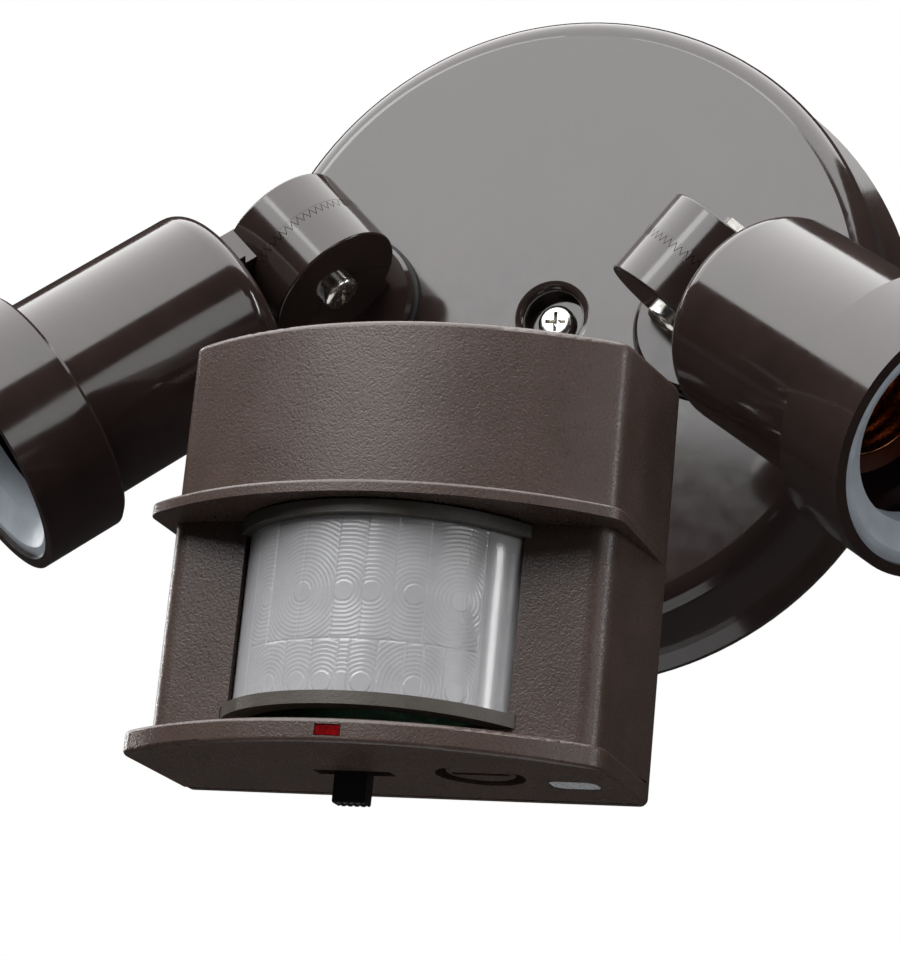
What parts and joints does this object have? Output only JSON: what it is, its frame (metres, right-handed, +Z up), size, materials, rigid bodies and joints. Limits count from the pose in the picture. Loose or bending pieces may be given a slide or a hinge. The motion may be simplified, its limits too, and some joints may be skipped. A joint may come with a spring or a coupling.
{
  "type": "motion sensor security light",
  "caption": "Round wall canopy with two swivelling lampholders and a panning infrared sensor head with a curved lens, a mode switch and a range dial.",
  "frame": {"origin": "centre of the canopy's back face on the wall", "axes": "+Z up, +Y into the wall, the sensor and lamps face -Y, +X to the right seen from in front"},
  "size_m": [0.2437, 0.1441, 0.199],
  "materials": {
    "bronze_paint": "gloss dark bronze powder coat",
    "foam_black": "black closed-cell foam",
    "galvanised": "zinc plated pressed steel",
    "ground_green": "green dyed plating",
    "bright_zinc": "bright zinc plated steel",
    "bronze_gloss": "gloss dark bronze moulded plastic",
    "black_rubber": "black rubber",
    "bronze_grained": "dark bronze moulded plastic with a fine leather grain",
    "lens_milk": "milky polyethylene sheet",
    "frame_grey": "dark grey-brown moulded plastic",
    "board_green": "green solder mask",
    "can_nickel": "nickel plated can",
    "relay_blue": "blue moulded case",
    "capacitor_yellow": "yellow epoxy dip",
    "black_plastic": "black moulded plastic",
    "window_grey": "pale translucent plastic",
    "led_red": "red epoxy",
    "window_red": "deep red acrylic",
    "silicone_grey": "soft pale grey silicone",
    "phenolic": "red-brown phenolic moulding",
    "copper_shell": "copper coloured screw shell"
  },
  "bodies": {
    "canopy": {"canopy_cover": "bronze_paint", "wall_gasket": "foam_black", "mounting_strap": "galvanised", "ground_screw": "ground_green", "centre_screw": "bright_zinc", "left_locknut": "galvanised", "right_locknut": "galvanised", "sensor_locknut": "galvanised", "sensor_arm": "bronze_gloss", "sensor_arm_gasket": "black_rubber", "tilt_screw": "bright_zinc", "tilt_nut": "bright_zinc"},
    "swivel_link": {"swivel_link": "bronze_gloss"},
    "sensor_head": {"sensor_housing": "bronze_grained", "rear_cover": "bronze_grained", "cover_screws": "bright_zinc", "lens": "lens_milk", "lens_frame": "frame_grey", "circuit_board": "board_green", "pir_detector": "can_nickel", "relay": "relay_blue", "capacitor": "capacitor_yellow", "terminal_block": "black_plastic", "control_board": "board_green", "mode_switch": "black_plastic", "range_potentiometer": "black_plastic", "photocell": "capacitor_yellow", "photocell_window": "window_grey", "indicator_led": "led_red", "led_window": "window_red", "pan_screw": "bright_zinc", "pan_nut": "bright_zinc"},
    "mode_knob": {"mode_knob": "black_plastic"},
    "range_knob": {"range_knob": "bronze_grained"},
    "left_arm": {"left_arm": "bronze_gloss", "left_arm_gasket": "black_rubber", "left_knuckle_screw": "bright_zinc", "left_knuckle_nut": "bright_zinc"},
    "left_lamp": {"left_lamp_housing": "bronze_gloss", "left_lamp_seal": "silicone_grey", "left_lamp_socket": "phenolic", "left_socket_screws": "bright_zinc", "left_screw_shell": "copper_shell", "left_centre_contact": "copper_shell"},
    "right_arm": {"right_arm": "bronze_gloss", "right_arm_gasket": "black_rubber", "right_knuckle_screw": "bright_zinc", "right_knuckle_nut": "bright_zinc"},
    "right_lamp": {"right_lamp_housing": "bronze_gloss", "right_lamp_seal": "silicone_grey", "right_lamp_socket": "phenolic", "right_socket_screws": "bright_zinc", "right_screw_shell": "copper_shell", "right_centre_contact": "copper_shell"}
  },
  "joints": [
    {"name": "left_arm_swivel", "type": "hinge", "parent": "canopy", "child": "left_arm", "pos_m": [-0.0464, -0.032, 0.0036], "axis": [0, 1, 0], "range_deg": [-5, 90]},
    {"name": "left_lamp_tilt", "type": "hinge", "parent": "left_arm", "child": "left_lamp", "pos_m": [-0.05007, -0.052, 0.00718], "axis": [-0.7156, 0, 0.6985], "range_deg": [-6, 60]},
    {"name": "right_arm_swivel", "type": "hinge", "parent": "canopy", "child": "right_arm", "pos_m": [0.0346, -0.032, -0.0032], "axis": [0, 1, 0], "range_deg": [-90, 5]},
    {"name": "right_lamp_tilt", "type": "hinge", "parent": "right_arm", "child": "right_lamp", "pos_m": [0.03774, -0.052, 0.00085], "axis": [-0.6126, 0, -0.7904], "range_deg": [-6, 30]},
    {"name": "sensor_tilt", "type": "hinge", "parent": "canopy", "child": "swivel_link", "pos_m": [0, -0.058, -0.058], "axis": [1, 0, 0], "range_deg": [-25, 25]},
    {"name": "sensor_pan", "type": "hinge", "parent": "swivel_link", "child": "sensor_head", "pos_m": [0, -0.076, -0.058], "axis": [0, 0, -1], "range_deg": [-28, 28]},
    {"name": "mode_slide", "type": "slide", "parent": "sensor_head", "child": "mode_knob", "axis": [1, 0, 0], "range_m": [-0.004, 0.004]},
    {"name": "range_turn", "type": "hinge", "parent": "sensor_head", "child": "range_knob", "pos_m": [0.021, -0.1175, -0.116], "axis": [0, 0, 1], "range_deg": [-135, 135]}
  ]
}
